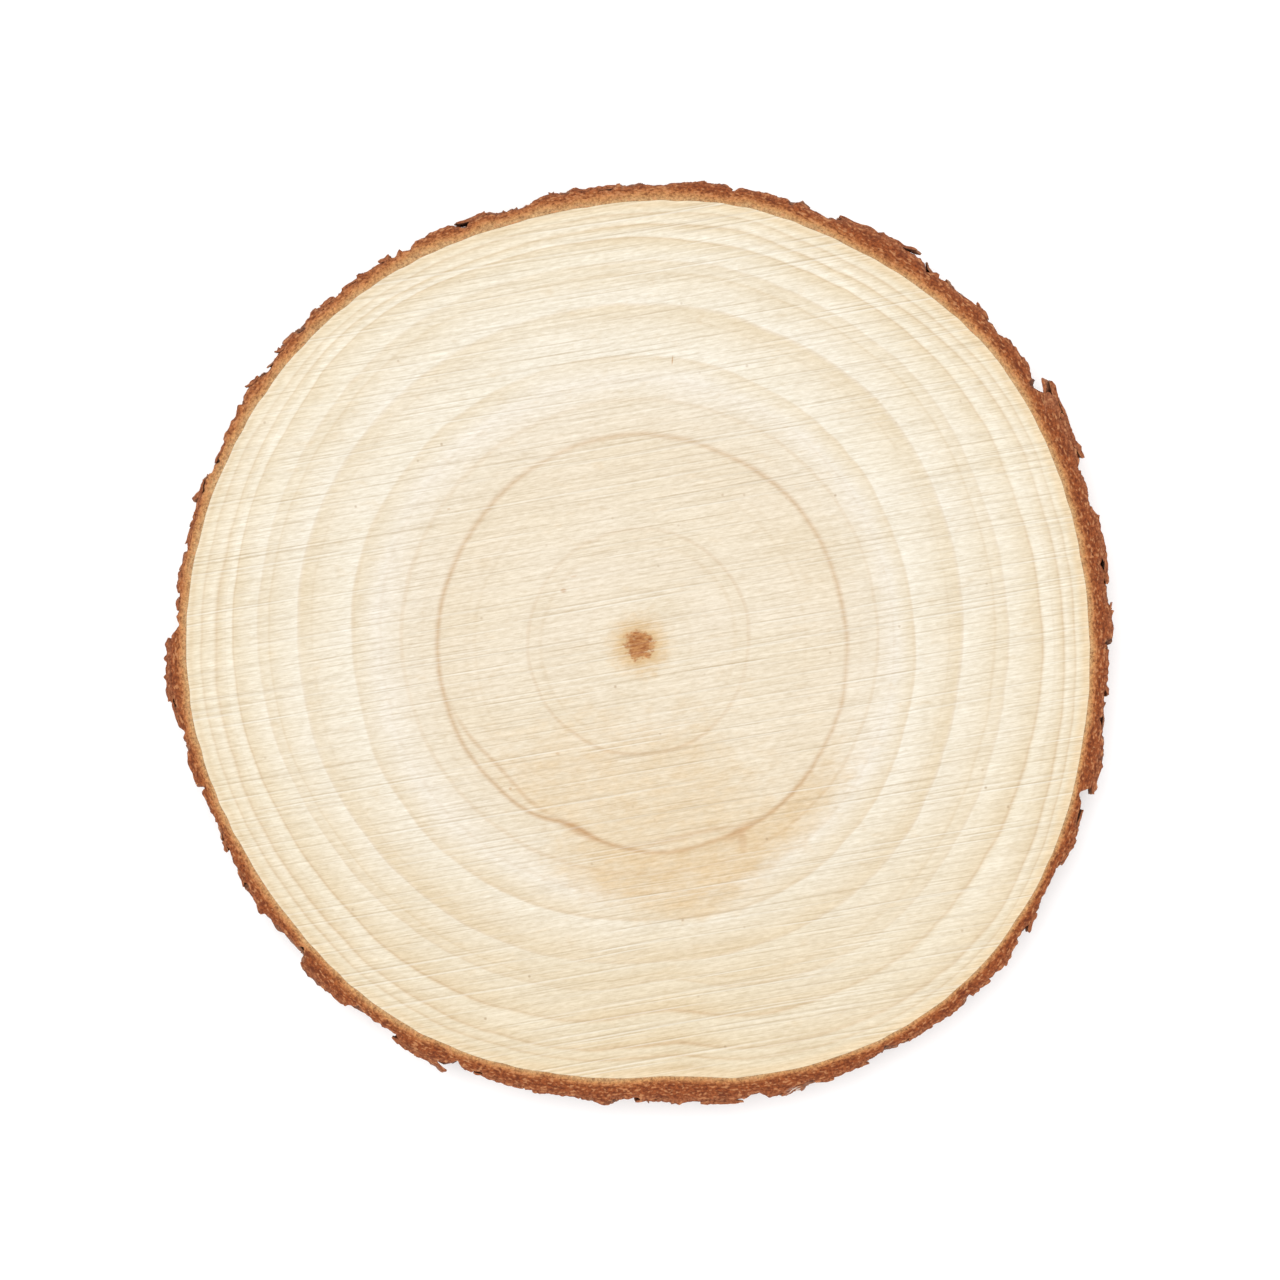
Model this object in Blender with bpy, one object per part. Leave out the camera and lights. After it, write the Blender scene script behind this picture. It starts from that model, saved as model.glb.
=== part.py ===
"""A cross-cut slice of a young conifer log with its bark still on.

Wood and bark grew together, so the slice is one solid: two flat sawn faces, and between
them a wall of bark whose plates and furrows run up the trunk.
Metres, +Z up. The lower sawn face lies on z = 0, with the origin under the slice's middle.
Bearings are in degrees, anticlockwise from +X as seen from above, about the pith.
"""

import math

import bmesh
import bpy
from mathutils import Vector, noise

MM = 0.001

# Driving dimensions
WIDTH = 100.0 * MM  # along X, bark included
THICKNESS = 10.0 * MM  # from one sawn face to the other
WOOD_RADIUS = 47.2 * MM  # mean radius of the wood, from the pith
BARK_THICKNESS = 2.0 * MM  # thinnest usual thickness of the bark

# Swells and hollows of the trunk: bearing, height, spread in degrees
TRUNK_LOBES = (
    (39, 1.0 * MM, 21),
    (76, 0.3 * MM, 9),
    (105, -0.9 * MM, 19),
    (210, 0.7 * MM, 75),
    (215, -1.1 * MM, 21),
    (268, -1.9 * MM, 27),
    (274, -0.6 * MM, 6),
    (315, 2.1 * MM, 30),
)
# The same for the bark, which is thick on one side and thin on the other
BARK_LOBES = (
    (38, 0.7 * MM, 45),
    (165, -0.3 * MM, 34),
    (272, 0.9 * MM, 18),
)
# Bark plates that stand proud (+) or have fallen off (-): first and last bearing on the
# upper face, height, and how many degrees the plate leans round the trunk on its way down
PLATES = (
    (2, 9, 0.4 * MM, 2),
    (11, 16, 0.5 * MM, -3),
    (23, 31, 0.5 * MM, 4),
    (31, 33.5, 1.0 * MM, 3),
    (54, 64, 0.5 * MM, -4),
    (86, 92, -0.2 * MM, 5),
    (98, 102, 0.3 * MM, -2),
    (109, 111, 0.3 * MM, 2),
    (115, 119, 0.4 * MM, 4),
    (145, 149, 0.5 * MM, -3),
    (154, 158, -0.2 * MM, 3),
    (163, 171, -0.3 * MM, -4),
    (179.5, 187, 0.7 * MM, 3),
    (196, 203, -0.2 * MM, -3),
    (211, 215, 0.3 * MM, 2),
    (224, 231, 0.5 * MM, -3),
    (239, 244.5, 0.6 * MM, 4),
    (278, 283, 0.3 * MM, -2),
    (286, 289.5, 0.6 * MM, 3),
    (305, 309, -0.3 * MM, 4),
    (326, 334, -0.3 * MM, -4),
    (337.5, 341.5, -0.5 * MM, 2),
    (342, 350, 0.4 * MM, -3),
)
PLATE_EDGE = 0.8  # degrees over which a plate's edge falls away

# Bark relief: depth, and bumps per metre round the trunk and up it
FURROWS = ((0.34 * MM, 260.0, 70.0), (0.18 * MM, 700.0, 180.0))

# Mesh fineness
COLUMNS = 360
LEVELS = 7

WOOD_COLOUR = (0.86, 0.74, 0.55, 1.0)
BARK_COLOUR = (0.36, 0.13, 0.05, 1.0)


def bearing_gap(bearing, other):
    """Signed angle from one bearing to another, within half a turn."""
    return (bearing - other + 180.0) % 360.0 - 180.0


def lobes(bearing, table):
    """Sum of the smooth swells and hollows in a table at one bearing."""
    return sum(
        height * math.exp(-((bearing_gap(bearing, middle) / spread) ** 2))
        for middle, height, spread in table
    )


def plate_relief(bearing, z):
    """Height of the bark plates at one bearing and z, each flat on top with steep edges."""
    total = 0.0
    for first, last, height, lean in PLATES:
        middle = 0.5 * (first + last) + lean * (1.0 - z / THICKNESS)
        half_width = 0.5 * (last - first)
        off_middle = abs(bearing_gap(bearing, middle))
        inside = (half_width + PLATE_EDGE - off_middle) / PLATE_EDGE
        total += height * min(max(inside, 0.0), 1.0)
    return total


def furrow_relief(bearing, z):
    """Roughness of the bark's surface, longer up the trunk than round it."""
    angle = math.radians(bearing)
    around = Vector((math.cos(angle), math.sin(angle), 0.0)) * WOOD_RADIUS
    return sum(
        depth * noise.noise(around * round_rate + Vector((0.0, 0.0, z * rise_rate)))
        for depth, round_rate, rise_rate in FURROWS
    )


def outer_radius(bearing, z):
    """Distance from the pith's axis to the outside of the bark."""
    wood = WOOD_RADIUS + lobes(bearing, TRUNK_LOBES)
    bark = BARK_THICKNESS + lobes(bearing, BARK_LOBES) + plate_relief(bearing, z)
    return wood + bark + furrow_relief(bearing, z)


def add_ring(mesh, z):
    """One ring of points round the slice at height z."""
    ring = []
    for column in range(COLUMNS):
        bearing = 360.0 * column / COLUMNS
        angle = math.radians(bearing)
        radius = outer_radius(bearing, z)
        ring.append(mesh.verts.new((radius * math.cos(angle), radius * math.sin(angle), z)))
    return ring


def add_bark_wall(mesh, rings):
    """Join the rings, lowest first, into the wall of bark. Returns its faces."""
    wall = []
    for lower, upper in zip(rings, rings[1:]):
        for column in range(COLUMNS):
            after = (column + 1) % COLUMNS
            corners = (lower[column], lower[after], upper[after], upper[column])
            wall.append(mesh.faces.new(corners))
    return wall


def add_sawn_face(mesh, ring, z, facing_up):
    """Close one end with flat wedges that meet at the pith."""
    pith = mesh.verts.new((0.0, 0.0, z))
    for column in range(COLUMNS):
        here = ring[column]
        after = ring[(column + 1) % COLUMNS]
        mesh.faces.new((pith, here, after) if facing_up else (pith, after, here))


def fit_to_width(mesh):
    """Scale in X and Y to the driving width, and centre the outline on the origin."""
    xs = [vert.co.x for vert in mesh.verts]
    ys = [vert.co.y for vert in mesh.verts]
    scale = WIDTH / (max(xs) - min(xs))
    middle_x = 0.5 * (max(xs) + min(xs))
    middle_y = 0.5 * (max(ys) + min(ys))
    for vert in mesh.verts:
        vert.co.x = (vert.co.x - middle_x) * scale
        vert.co.y = (vert.co.y - middle_y) * scale


def make_material(name, colour, roughness):
    """A plain Principled material."""
    material = bpy.data.materials.new(name)
    material.use_nodes = True
    shader = material.node_tree.nodes["Principled BSDF"]
    shader.inputs["Base Color"].default_value = colour
    shader.inputs["Roughness"].default_value = roughness
    shader.inputs["Metallic"].default_value = 0.0
    material.diffuse_color = colour
    return material


def build_wood_slice():
    """The whole slice as one closed body: bark wall, lower face and upper face."""
    mesh = bmesh.new()
    heights = [THICKNESS * level / (LEVELS - 1) for level in range(LEVELS)]
    rings = [add_ring(mesh, z) for z in heights]
    wall = add_bark_wall(mesh, rings)
    for face in wall:
        face.material_index = 1
        face.smooth = True
    add_sawn_face(mesh, rings[0], 0.0, facing_up=False)
    add_sawn_face(mesh, rings[-1], THICKNESS, facing_up=True)
    fit_to_width(mesh)

    data = bpy.data.meshes.new("wood_slice")
    mesh.to_mesh(data)
    mesh.free()
    data.materials.append(make_material("wood", WOOD_COLOUR, roughness=0.7))
    data.materials.append(make_material("bark", BARK_COLOUR, roughness=0.9))
    slice_object = bpy.data.objects.new("wood_slice", data)
    bpy.context.scene.collection.objects.link(slice_object)
    return slice_object


def main():
    for old in list(bpy.data.objects):
        bpy.data.objects.remove(old)
    build_wood_slice()


main()
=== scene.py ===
"""The looks of a wood slice: sawn end grain with growth rings, and a rough edge of bark.

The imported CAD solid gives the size, the pith and the outline. Three pieces stand for it: the
wood, the ring of bark round it, and the loose flakes on the bark.
Shapes are worked out in mm and written to the meshes in metres, +Z up.
Bearings are in degrees, anticlockwise from +X as seen from above, about the pith.
"""

import math

import bpy
import numpy as np
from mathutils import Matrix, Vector

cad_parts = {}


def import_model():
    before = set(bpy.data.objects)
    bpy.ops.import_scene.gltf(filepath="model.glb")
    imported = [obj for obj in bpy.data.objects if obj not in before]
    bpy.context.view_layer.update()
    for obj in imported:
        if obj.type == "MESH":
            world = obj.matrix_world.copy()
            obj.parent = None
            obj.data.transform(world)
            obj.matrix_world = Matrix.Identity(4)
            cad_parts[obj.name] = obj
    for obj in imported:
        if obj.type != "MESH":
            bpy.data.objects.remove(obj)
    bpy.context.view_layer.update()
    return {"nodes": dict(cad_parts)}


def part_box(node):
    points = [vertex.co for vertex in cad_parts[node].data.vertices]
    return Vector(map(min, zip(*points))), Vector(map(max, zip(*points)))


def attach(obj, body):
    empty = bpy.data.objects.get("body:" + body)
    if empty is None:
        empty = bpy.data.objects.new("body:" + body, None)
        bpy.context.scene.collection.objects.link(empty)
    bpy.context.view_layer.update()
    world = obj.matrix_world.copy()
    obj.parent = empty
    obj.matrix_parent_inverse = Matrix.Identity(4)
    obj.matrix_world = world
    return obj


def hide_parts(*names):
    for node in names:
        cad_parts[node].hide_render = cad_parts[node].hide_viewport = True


MM = 0.001
NODE = "wood_slice"

# ------ the tree's shape, in mm

WOOD_RADIUS = 47.25
THICKNESS = 10.0
MM_PER_DEGREE = math.radians(1) * 50.0  # along the outside of the bark
# Swells and hollows of the trunk: bearing, height, spread in degrees
TRUNK_LOBES = (
    (39, 1, 21), (76, 0.3, 9), (105, -0.9, 19), (210, 0.7, 75), (215, -1.1, 21), (268, -1.9, 27),
    (274, -0.6, 6), (315, 2.1, 30),
)
# Year rings, from the pith out: mean radius, how far the ring follows the trunk's outline,
# and how far its middle lies off the pith and towards which bearing
RINGS = (
    (11.8, 0, 0.3, 90), (21.7, 0, 0.5, 40), (25.2, 0.1, 0.9, 85), (29.9, 0.3, 0.9, 143),
    (35.2, 0.35, 1.4, 130), (39.2, 0.7, 1.7, 111), (42.4, 0.8, 1.3, 114), (44.6, 0.9, 0.2, 60),
    (45.8, 1, 0.3, 110),
)
DOUBLED = 1  # place in RINGS of the ring that is doubled below the pith
# Where each ring swells out (+) or is pinched in (-): bearing, height, spread in degrees
RING_DENTS = {
    0: ((350, -0.3, 22), (75, 0.2, 30)),
    DOUBLED: (
        (15, -0.3, 20), (98, 0.3, 22), (145, -0.2, 25), (249, -1.0, 9), (277, 0.6, 10),
        (308, 0.8, 22), (336, 0.2, 18),
    ),
    3: ((20, -0.6, 22), (100, 0.3, 25), (185, -0.6, 16), (300, 0.5, 25)),
    4: ((48, 0.4, 14), (185, -0.3, 12), (350, -0.5, 18)),
    5: ((30, -0.4, 12), (120, 0.5, 18), (275, -1.2, 10), (305, 0.5, 18)),
    6: (
        (355, 0.5, 14), (30, -0.2, 15), (78, -0.5, 14), (130, 0.6, 14), (190, -0.4, 35),
        (275, -1.3, 10),
    ),
    7: ((60, -0.5, 15), (133, 0.6, 12), (182, -0.5, 25), (275, -0.7, 10), (322, 0.9, 20)),
    8: ((55, -0.3, 15), (275, -0.3, 10), (322, 0.8, 20)),
}
# Where the bark bulges past the CAD rim (+) or stays inside it: height, bearing, spread
RIM_SWELLS = ((-0.18, 52, 7), (0.2, 112, 7), (-0.12, 187, 6), (0.18, 292, 7))
# Deep clefts in the bark: bearing, depth, half width in degrees at the upper face, and how
# many degrees wider and further round it is at the lower face
CLEFTS = (
    (31.1, 1.8, 0.6, 0), (32.9, 1.25, 1.3, 1.3), (52.5, 0.5, 0.5, 0), (78.2, 0.6, 0.6, 0),
    (97.4, 0.4, 0.5, 0), (112.6, 0.6, 0.6, 0), (122, 0.4, 0.5, 0), (148.5, 0.4, 0.4, 0),
    (177.5, 0.5, 0.6, 0), (191, 0.4, 0.5, 0), (222, 0.5, 0.6, 0), (246.5, 0.6, 0.6, 0),
    (280.4, 0.6, 0.5, 0), (301.5, 0.4, 0.5, 0), (341.8, 0.6, 0.6, 0),
)
# Loose flakes at the upper face: first and last bearing, thickness, and how far each of the
# two ends stands off the bark, in mm. The first three make the split spur: they slant evenly,
# and where the number is below 0 they sink into the bark.
LOOSE_FLAKES = (
    (28.4, 32.7, 0.7, -0.45, 0.32), (29.6, 33.4, 0.6, -1.3, 0.2), (28.8, 31.6, 1.3, -0.8, -0.95),
    (1, 5.2, 0.45, 0, 0.25), (7.5, 11, 0.5, 0, 0.2), (10.4, 13.2, 0.45, 0.3, 0.1),
    (15.2, 17, 0.5, 0, 0.3), (23, 28.6, 0.75, 0.45, 0), (43, 45.4, 0.55, 0, 0.45),
    (54.8, 60.2, 0.55, 0.6, 0.1), (57.6, 64.6, 0.55, 0, 0.55), (96, 98.2, 0.45, 0, 0.25),
    (100, 101.4, 0.4, 0, 0.3), (109.8, 112.6, 0.5, 0.4, 0.3), (122.8, 124.2, 0.45, 0.3, 0.3),
    (126, 127.4, 0.45, 0, 0.35), (131.4, 133.4, 0.5, 0, 0.35), (139.8, 141.2, 0.4, 0, 0.5),
    (144.6, 146.8, 0.5, 0, 0.4), (163.2, 165, 0.5, 0.1, 0.5), (178.8, 182, 0.75, 0.3, 0.1),
    (181.6, 187, 0.75, 0, 0.4), (196, 197.6, 0.5, 0, 0.35), (205, 206.6, 0.45, 0, 0.3),
    (209.2, 211.5, 0.45, 0, 0.3), (213, 214.8, 0.45, 0, 0.35), (223.2, 231, 0.65, 0.3, 0.1),
    (238.3, 244, 0.6, 0.3, 0.2), (239.5, 245.4, 0.55, 0, 0.8), (262, 263.6, 0.4, 0, 0.3),
    (269.8, 272.4, 0.45, 0.3, 0.3), (272, 275.2, 0.45, 0.2, 0.2), (277.4, 282.6, 0.6, 0.35, 0.3),
    (287.6, 290.4, 0.6, 0.1, 0.2), (297.4, 299.2, 0.45, 0.3, 0), (304.4, 306, 0.45, 0.3, 0),
    (314, 316.3, 0.5, 0, 0.35), (318.8, 321, 0.5, 0.35, 0), (323.8, 326, 0.5, 0.4, 0),
    (335, 337.4, 0.5, 0, 0.35), (342, 346, 0.7, 0.45, 0), (353.8, 356.4, 0.45, 0.35, 0),
)
SPUR_FLAKES = 3
SMALL_FLAKES = 165  # the rest, spread by chance over the bark
FLAKE_SEAT = 0.3  # depth of a flake's inner face under the CAD rim
FLAKE_OUT = (1.6, 2.3)  # how far from the wood its inner and outer faces' colours are taken
FLAKE_LAYER = 1.8  # layer of bark that its sawn top is coloured as
NOTCH, NOTCH_REACH = 33.5, 2.5  # bearing of the notch behind the spur, and degrees kept clear
# Overlapping scales on the outside of the bark: their number, and the least and the most half
# width, half length, and height of their tops over the CAD rim
SCALES = 470
SCALE_HALF_WIDTH, SCALE_HALF_LENGTH, SCALE_TOP = (0.9, 2.6), (1.3, 3.4), (-0.3, 0.22)
SAW_MARKS = ((18.0, 0.42, 0.009), (9.0, 0.25, 0.006))  # length, distance apart, height
SAW_SINK = 0.02  # mean depth of a sawn face inside the CAD solid's
LEAST_SINK = 0.01  # the bark's sawn faces lie at least this deep
JOINT_GAP = 0.01  # between the wood and the bark
CHIPS = 0.12  # mean depth of the chips along the bark's sawn edges
# The bark's outer layers reach further in on some sides: how much, bearing, spread
OLD_SIDES = ((0.6, 322, 22), (0.22, 202, 22))

# ------ mesh fineness

RIM_STEP = 0.2  # degrees between the points round the wood's rim
RIM_COUNT = round(360 / RIM_STEP)
SAW_TILT = 9.5  # degrees that the saw marks rise towards +X
TOP_COLUMNS = 72  # across the wood's upper face
UNDER_COLUMNS = 32  # the same on the lower face
CUT_STEPS = 16  # across the bark's sawn face
UNDER_STEPS = 8  # the same on the lower face
WALL_STEPS = 28  # down the outside of the bark
FLAKE_GRID = (14, 12)  # points along a flake and up it
SHARP_ANGLE = 48  # degrees between two faces above which their edge is sharp
# Texture places of the two sawn faces, each a disc: middle and radius
TOP_DISC = ((0.39, 0.39), 0.385)
UNDER_DISC = ((0.8, 0.8), 0.19)


# ------ repeatable noise


def hashed(i, j, seed):
    """A repeatable value from -1 to 1 for each whole-number lattice point."""
    n = (i * 374761393 + j * 668265263 + seed * 97531357) & 0xFFFFFFFF
    n = ((n ^ (n >> 13)) * 1274126177) & 0xFFFFFFFF
    return ((n ^ (n >> 16)) & 0xFFFF) / 32767.5 - 1.0


def noise(u, v, seed, wrap=1 << 20):
    """Smooth noise from -1 to 1 with one bump per unit. It repeats every wrap units of u."""
    i = np.floor(u).astype(np.int64)
    j = np.floor(v).astype(np.int64)
    fu, fv = u - i, v - j
    fu = fu * fu * (3 - 2 * fu)
    fv = fv * fv * (3 - 2 * fv)
    left, right = i % wrap, (i + 1) % wrap
    low = hashed(left, j, seed) * (1 - fu) + hashed(right, j, seed) * fu
    high = hashed(left, j + 1, seed) * (1 - fu) + hashed(right, j + 1, seed) * fu
    return low * (1 - fv) + high * fv


def wave(u, seed):
    """Smooth noise along one line."""
    return noise(u, 0.0 * u, seed)


def rim_noise(bearing, height, bumps, length, seed):
    """Smooth noise round the rim: bumps per turn, each so many mm long up the trunk."""
    return noise(bearing / 360.0 * bumps, height / length, seed, bumps)


def ease(low, high, value):
    """0 at low, 1 at high, and a smooth change between them."""
    t = np.clip((value - low) / (high - low), 0.0, 1.0)
    return t * t * (3 - 2 * t)


# ------ outlines


def bearing_gap(bearing, other):
    """Signed angle from one bearing to another, within half a turn."""
    return (bearing - other + 180.0) % 360.0 - 180.0


def bump(bearing, middle, spread):
    """A smooth bump of height 1 at one bearing."""
    return np.exp(-((bearing_gap(bearing, middle) / spread) ** 2))


def trunk_lobes(bearing):
    """How far the trunk swells out or is hollow at a bearing, in mm."""
    return sum(height * bump(bearing, middle, spread) for middle, height, spread in TRUNK_LOBES)


def wood_edge(bearing):
    """Radius of the wood under the bark, in mm."""
    ripple = rim_noise(bearing, 0.0 * bearing, 190, 1.0, 51)
    return WOOD_RADIUS + trunk_lobes(bearing) + 0.07 * ripple


def ring_radius(number, bearing):
    """Radius of one year ring, in mm."""
    mean, follow, shift, towards = RINGS[number]
    radius = mean + follow * trunk_lobes(bearing) + shift * np.cos(np.radians(bearing - towards))
    for middle, height, spread in RING_DENTS.get(number, ()):
        radius = radius + height * bump(bearing, middle, spread)
    return radius


def ring_shift(radius, bearing):
    """How far each point lies, in mm, from the mean radius of the ring it is on."""
    means = [0.0] + [ring[0] for ring in RINGS] + [WOOD_RADIUS]
    radii = [0.0 * bearing] + [ring_radius(number, bearing) for number in range(len(RINGS))]
    radii.append(wood_edge(bearing))
    mean_radius = np.zeros_like(radius)
    for k in range(len(means) - 1):
        share = (radius - radii[k]) / (radii[k + 1] - radii[k])
        inside = (share >= 0) if k else np.ones_like(share, bool)
        mean_radius = np.where(inside, means[k] + share * (means[k + 1] - means[k]), mean_radius)
    return mean_radius - radius


def polar(points, pith):
    """Distances and bearings of points from the pith."""
    x, y = (points[:, :2] - pith).T
    return np.hypot(x, y), np.degrees(np.arctan2(y, x))


class CadRim:
    """The CAD solid's pith and its outer radius at any bearing and height, in mm."""

    def __init__(self, node):
        points = np.array([vert.co for vert in node.data.vertices]) / MM
        from_middle, _ = polar(points, (0.0, 0.0))
        self.pith = points[np.argmin(from_middle), :2]
        radius, bearing = polar(points, self.pith)
        height = np.round(points[:, 2], 2)
        on_rim = radius > 0.5 * WOOD_RADIUS
        self.levels = np.unique(height[on_rim])
        self.rims = []
        for level in self.levels:
            here = on_rim & (height == level)
            self.rims.append((bearing[here], radius[here]))

    def radius(self, bearing, height):
        """Outer radius at bearings and heights given in arrays of one shape."""
        by_level = np.stack([np.interp(bearing, *rim, period=360.0) for rim in self.rims])
        place = np.interp(height, self.levels, np.arange(len(self.levels)))
        below = np.clip(np.floor(place).astype(int), 0, len(self.levels) - 2)
        share = place - below
        low = np.take_along_axis(by_level, below[None], 0)[0]
        high = np.take_along_axis(by_level, below[None] + 1, 0)[0]
        return low * (1 - share) + high * share


# ------ mesh helpers


def add_object(name, data):
    """A new object in the scene with this data."""
    made = bpy.data.objects.new(name, data)
    bpy.context.scene.collection.objects.link(made)
    return made


def make_piece(name, points_mm, faces, attributes, corner_uv=None):
    """A smooth-shaded object from points in mm, with one number per point and attribute."""
    mesh = bpy.data.meshes.new(name)
    mesh.from_pydata((points_mm * MM).tolist(), [], faces)
    mesh.shade_smooth()
    mesh.set_sharp_from_angle(angle=math.radians(SHARP_ANGLE))
    for label, values in attributes.items():
        layer = mesh.attributes.new(label, "FLOAT", "POINT")
        layer.data.foreach_set("value", np.asarray(values, np.float32).ravel())
    if corner_uv is not None:
        layer = mesh.uv_layers.new(name="OFBake")
        layer.data.foreach_set("uv", np.asarray(corner_uv, np.float32).ravel())
    return add_object(name, mesh)


def ring_points(pith, bearing, radius, height):
    """Points in mm from bearings, radii about the pith, and heights."""
    angle = np.radians(bearing)
    x = pith[0] + radius * np.cos(angle)
    y = pith[1] + radius * np.sin(angle)
    return np.stack([x, y, height + 0.0 * radius], -1)


# ------ wood


def saw_relief(along, across, seed):
    """Height of the saw marks in mm: long shallow grooves that fade in and out."""
    marks = 0.0
    for k, (length, pitch, height) in enumerate(SAW_MARKS):
        marks = marks + height * noise(along / length, across / pitch, seed + k)
    return marks * (0.6 + 0.4 * noise(along / 22.0, across / 7.0, seed + len(SAW_MARKS)))


def sawn_face(pith, height, columns, seed, up):
    """Points of one sawn face, row by row along the saw marks, its faces, and its rim.

    The rows run from rim to rim and end at evenly spaced bearings. Points lie closer together
    near the middle of a row.
    """
    rows = RIM_COUNT // 2
    crowding = 0.4
    spread = np.linspace(-1.0, 1.0, columns + 1)
    spread = 0.5 + 0.5 * (spread - crowding * np.sin(math.pi * spread) / math.pi)
    climb = -90.0 + RIM_STEP * np.arange(rows + 1)
    right_bearing = SAW_TILT + climb
    left_bearing = SAW_TILT + 180.0 - climb
    right = ring_points(pith, right_bearing, wood_edge(right_bearing), height)
    left = ring_points(pith, left_bearing, wood_edge(left_bearing), height)
    grid = left[:, None] + (right - left)[:, None] * spread[None, :, None]

    tilt = math.radians(SAW_TILT)
    along = grid[..., 0] * math.cos(tilt) + grid[..., 1] * math.sin(tilt)
    across = grid[..., 1] * math.cos(tilt) - grid[..., 0] * math.sin(tilt)
    grid[..., 2] += (1 if up else -1) * (saw_relief(along, across, seed) - SAW_SINK)

    inner = grid[1:rows].reshape(-1, 3)
    points = np.concatenate([grid[:1, 0], inner, grid[rows:, 0]])
    last = len(points) - 1
    index = 1 + np.arange((rows - 1) * (columns + 1)).reshape(rows - 1, columns + 1)
    a, b = index[:-1, :-1], index[:-1, 1:]
    c, d = index[1:, 1:], index[1:, :-1]
    faces = np.stack([a, b, c, d], -1).reshape(-1, 4).tolist()
    for k in range(columns):
        faces.append([0, int(index[0, k + 1]), int(index[0, k])])
        faces.append([last, int(index[-1, k]), int(index[-1, k + 1])])
    if not up:
        faces = [face[::-1] for face in faces]
    rim = [0, *index[:, -1].tolist(), last, *index[::-1, 0].tolist()]
    return points, faces, rim


def disc_uv(points, faces, pith, middle, radius):
    """Texture places of a sawn face: a disc of one radius in the unit square."""
    corners = [corner for face in faces for corner in face]
    flat = (points[corners, :2] - pith) / (WOOD_RADIUS + 3.0)
    return np.array(middle) + radius * flat


def build_wood(rim, low, high):
    """The wood as one closed piece, with the saw marks and the rings' places."""
    top, top_faces, top_rim = sawn_face(rim.pith, high, TOP_COLUMNS, seed=11, up=True)
    under, under_faces, under_rim = sawn_face(rim.pith, low, UNDER_COLUMNS, seed=31, up=False)
    top_uv = disc_uv(top, top_faces, rim.pith, *TOP_DISC)
    under_uv = disc_uv(under, under_faces, rim.pith, *UNDER_DISC)
    shift = len(top)
    faces = top_faces + [[k + shift for k in face] for face in under_faces]
    side_uv = []
    for k in range(RIM_COUNT):
        after = (k + 1) % RIM_COUNT
        lower, lower_after = under_rim[k] + shift, under_rim[after] + shift
        faces.append([lower, lower_after, top_rim[after], top_rim[k]])
        here, there = 0.02 + 0.4 * k / RIM_COUNT, 0.02 + 0.4 * (k + 1) / RIM_COUNT
        side_uv += [(here, 0.9), (there, 0.9), (there, 0.98), (here, 0.98)]
    points = np.concatenate([top, under])

    radius, bearing = polar(points, rim.pith)
    past_ring = radius - ring_radius(DOUBLED, bearing)
    # The stain below the pith, inside the doubled ring and outside it
    inside = ease(2.0, 15.0, radius) * ease(0.2, -0.6, past_ring)
    inside *= ease(66.0, 28.0, np.abs(bearing_gap(bearing, 265)))
    reach = 28.4 + 2.7 * bump(bearing, 283, 15)
    outside = ease(-0.6, 0.2, past_ring) * ease(reach, reach - 4.0, radius)
    outside *= ease(54.0, 24.0, np.abs(bearing_gap(bearing, 290)))
    attributes = {
        "ring_shift": ring_shift(radius, bearing),
        "stain": 0.55 * inside + 0.95 * outside,
        "warm_side": bump(bearing, 272, 58),
        "under_bark": wood_edge(bearing) - radius,
        "golden_side": 0.6 + 0.4 * np.cos(np.radians(bearing - 350)),
        "twin_gap": 1.7 * bump(bearing, 222, 20) + 1.4 * bump(bearing, 284, 15),
    }
    corner_uv = np.concatenate([top_uv, under_uv, np.array(side_uv)])
    return make_piece("wood", points, faces, attributes, corner_uv)


# ------ bark


def lay_scales(bearing, height):
    """Overlapping scales on the outside of the bark, for bearings by rows of heights.

    Returns the relief in mm, the shade of each point's scale from -1 to 1, and how near the
    point is to the edge of its scale, from 0 to 1.
    """
    floor = -0.28 - 0.34 * ease(9.6, 7.8, height) * ease(0.3, 1.5, height)
    relief = floor.copy()
    shade = np.full(height.shape, -0.8)
    edge = np.zeros(height.shape)
    draw = np.random.default_rng(23).uniform
    for number in range(SCALES):
        middle = draw(0.0, 360.0)
        level = draw(-2.0, 12.0)
        half_width = draw(*SCALE_HALF_WIDTH)
        half_length = draw(*SCALE_HALF_LENGTH)
        top = draw(*SCALE_TOP)
        lean, rise = draw(-0.20, 0.20, 2)
        own_shade = draw(-1.0, 1.0)
        near = np.abs(bearing_gap(bearing, middle)) < 1.3 * half_width / MM_PER_DEGREE
        across = bearing_gap(bearing[near], middle)[:, None] * MM_PER_DEGREE + 0.0 * height[near]
        up = height[near] - level
        across = across + draw(-0.3, 0.3) * up
        across = across + 0.35 * noise(across / 2.0, up / 2.0, 300 + number)
        ragged = 0.22 * noise(across / 0.9, up / 1.1, 700 + number)
        ragged += 0.10 * noise(across / 0.35, up / 0.5, 1100 + number)
        u, v = across / half_width, up / half_length
        reach = (np.abs(u) ** 3 + np.abs(v) ** 3) ** (1 / 3) + ragged
        inside = ease(1.0, 0.93, reach)
        base = floor[near]
        own = base + inside * (top - base + lean * u + rise * v)
        higher = own > relief[near]
        own_edge = ease(0.70, 0.98, reach)
        for kept, new in ((relief, own), (shade, own_shade), (edge, own_edge)):
            kept[near] = np.where(higher, new, kept[near])
    return relief, shade, edge


def hollows(relief):
    """How deep each point lies in a gap between its neighbours, from 0 to 1, and so how much
    painted shade it gets.
    """
    padded = np.pad(relief, ((0, 0), (2, 2)), mode="edge")
    width = relief.shape[1]
    around = sum(np.roll(relief, shift, 0) for shift in (-5, -3, -1, 1, 3, 5))
    around = around + sum(padded[:, shift : shift + width] for shift in (0, 1, 3, 4))
    return np.clip((around / 10 - relief) / 0.16, 0.0, 1.0)


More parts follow.
